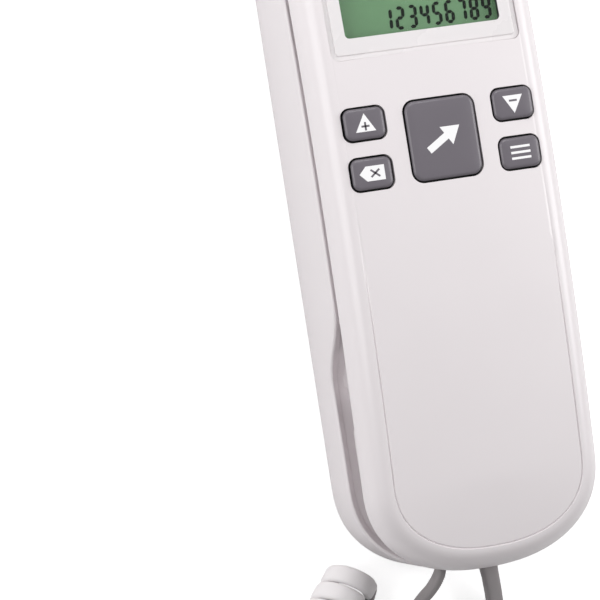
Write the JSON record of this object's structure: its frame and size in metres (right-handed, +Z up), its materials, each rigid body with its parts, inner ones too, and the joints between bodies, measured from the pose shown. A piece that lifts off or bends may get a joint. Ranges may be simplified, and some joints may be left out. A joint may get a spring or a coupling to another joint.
{
  "type": "slimline telephone",
  "caption": "Slimline corded telephone: handset with caller display and keys on its back, resting in a cradle base, joined by a curly cord.",
  "frame": {"origin": "middle of the telephone's footprint on the desk, under its feet", "axes": "+X across the phone, +Y along it towards the earpiece and display, +Z up out of the back of the handset"},
  "size_m": [0.0902, 0.3334, 0.0476],
  "materials": {
    "housing_white": "fine satin",
    "dial_white": "satin",
    "key_grey": "satin",
    "foot_rubber": "matte",
    "mat_rubber": "matte",
    "steel": "plated",
    "board_green": "solder mask",
    "black_plastic": "matte",
    "sounder_brass": "plain",
    "clear_plastic": "clear",
    "display_green": "reflective display",
    "cord_white": "satin jacket"
  },
  "bodies": {
    "base": {"base_housing": "housing_white", "base_cover": "housing_white", "rubber_feet": "foot_rubber", "base_screws": "steel", "base_board": "board_green", "hook_spring": "steel", "hook_switch": "black_plastic", "ringer": "sounder_brass", "ringer_switch": "black_plastic", "line_jack": "black_plastic", "base_cord_jack": "black_plastic", "base_plug": "clear_plastic", "handset_cord_tail": "cord_white", "curly_cord": "cord_white", "base_cord_tail": "cord_white"},
    "hook": {"hook_plunger": "housing_white"},
    "slider": {"ringer_slider": "key_grey"},
    "handset": {"handset_back": "housing_white", "handset_inner": "housing_white", "handset_screws": "steel", "handset_board": "board_green", "display_bezel": "housing_white", "display_window": "clear_plastic", "display_panel": "display_green", "key_mat": "mat_rubber", "dial_mat": "mat_rubber", "receiver": "black_plastic", "microphone": "steel", "handset_cord_jack": "black_plastic", "handset_plug": "clear_plastic"},
    "key_up_body": {"key_up": "key_grey"},
    "key_down_body": {"key_down": "key_grey"},
    "key_erase_body": {"key_erase": "key_grey"},
    "key_menu_body": {"key_menu": "key_grey"},
    "key_call_body": {"key_call": "key_grey"},
    "dial_1_body": {"dial_1": "dial_white"},
    "dial_2_body": {"dial_2": "dial_white"},
    "dial_3_body": {"dial_3": "dial_white"},
    "dial_4_body": {"dial_4": "dial_white"},
    "dial_5_body": {"dial_5": "dial_white"},
    "dial_6_body": {"dial_6": "dial_white"},
    "dial_7_body": {"dial_7": "dial_white"},
    "dial_8_body": {"dial_8": "dial_white"},
    "dial_9_body": {"dial_9": "dial_white"},
    "dial_star_body": {"dial_star": "dial_white"},
    "dial_0_body": {"dial_0": "dial_white"},
    "dial_hash_body": {"dial_hash": "dial_white"}
  },
  "joints": [
    {"name": "handset_lift", "type": "slide", "parent": "base", "child": "handset", "axis": [0, 0, 1], "range_m": [0, 0.08], "deforming": ["handset_cord_tail"]},
    {"name": "hook_rise", "type": "slide", "parent": "base", "child": "hook", "axis": [0, 0, 1], "range_m": [0, 0.004], "deforming": ["hook_spring"]},
    {"name": "ringer_slide", "type": "slide", "parent": "base", "child": "slider", "axis": [0, 1, 0], "range_m": [0, 0.004]},
    {"name": "key_up_press", "type": "slide", "parent": "handset", "child": "key_up_body", "axis": [0, 0, -1], "range_m": [0, 0.0006], "stiffness_N_per_m": 800},
    {"name": "key_down_press", "type": "slide", "parent": "handset", "child": "key_down_body", "axis": [0, 0, -1], "range_m": [0, 0.0006], "stiffness_N_per_m": 800},
    {"name": "key_erase_press", "type": "slide", "parent": "handset", "child": "key_erase_body", "axis": [0, 0, -1], "range_m": [0, 0.0006], "stiffness_N_per_m": 800},
    {"name": "key_menu_press", "type": "slide", "parent": "handset", "child": "key_menu_body", "axis": [0, 0, -1], "range_m": [0, 0.0006], "stiffness_N_per_m": 800},
    {"name": "key_call_press", "type": "slide", "parent": "handset", "child": "key_call_body", "axis": [0, 0, -1], "range_m": [0, 0.0006], "stiffness_N_per_m": 800},
    {"name": "dial_1_press", "type": "slide", "parent": "handset", "child": "dial_1_body", "axis": [0, 0, 1], "range_m": [0, 0.0006], "stiffness_N_per_m": 800},
    {"name": "dial_2_press", "type": "slide", "parent": "handset", "child": "dial_2_body", "axis": [0, 0, 1], "range_m": [0, 0.0006], "stiffness_N_per_m": 800},
    {"name": "dial_3_press", "type": "slide", "parent": "handset", "child": "dial_3_body", "axis": [0, 0, 1], "range_m": [0, 0.0006], "stiffness_N_per_m": 800},
    {"name": "dial_4_press", "type": "slide", "parent": "handset", "child": "dial_4_body", "axis": [0, 0, 1], "range_m": [0, 0.0006], "stiffness_N_per_m": 800},
    {"name": "dial_5_press", "type": "slide", "parent": "handset", "child": "dial_5_body", "axis": [0, 0, 1], "range_m": [0, 0.0006], "stiffness_N_per_m": 800},
    {"name": "dial_6_press", "type": "slide", "parent": "handset", "child": "dial_6_body", "axis": [0, 0, 1], "range_m": [0, 0.0006], "stiffness_N_per_m": 800},
    {"name": "dial_7_press", "type": "slide", "parent": "handset", "child": "dial_7_body", "axis": [0, 0, 1], "range_m": [0, 0.0006], "stiffness_N_per_m": 800},
    {"name": "dial_8_press", "type": "slide", "parent": "handset", "child": "dial_8_body", "axis": [0, 0, 1], "range_m": [0, 0.0006], "stiffness_N_per_m": 800},
    {"name": "dial_9_press", "type": "slide", "parent": "handset", "child": "dial_9_body", "axis": [0, 0, 1], "range_m": [0, 0.0006], "stiffness_N_per_m": 800},
    {"name": "dial_star_press", "type": "slide", "parent": "handset", "child": "dial_star_body", "axis": [0, 0, 1], "range_m": [0, 0.0006], "stiffness_N_per_m": 800},
    {"name": "dial_0_press", "type": "slide", "parent": "handset", "child": "dial_0_body", "axis": [0, 0, 1], "range_m": [0, 0.0006], "stiffness_N_per_m": 800},
    {"name": "dial_hash_press", "type": "slide", "parent": "handset", "child": "dial_hash_body", "axis": [0, 0, 1], "range_m": [0, 0.0006], "stiffness_N_per_m": 800}
  ],
  "couplings": [
    {"joint": "hook_rise", "follows": "handset_lift", "ratio": 0.05}
  ]
}
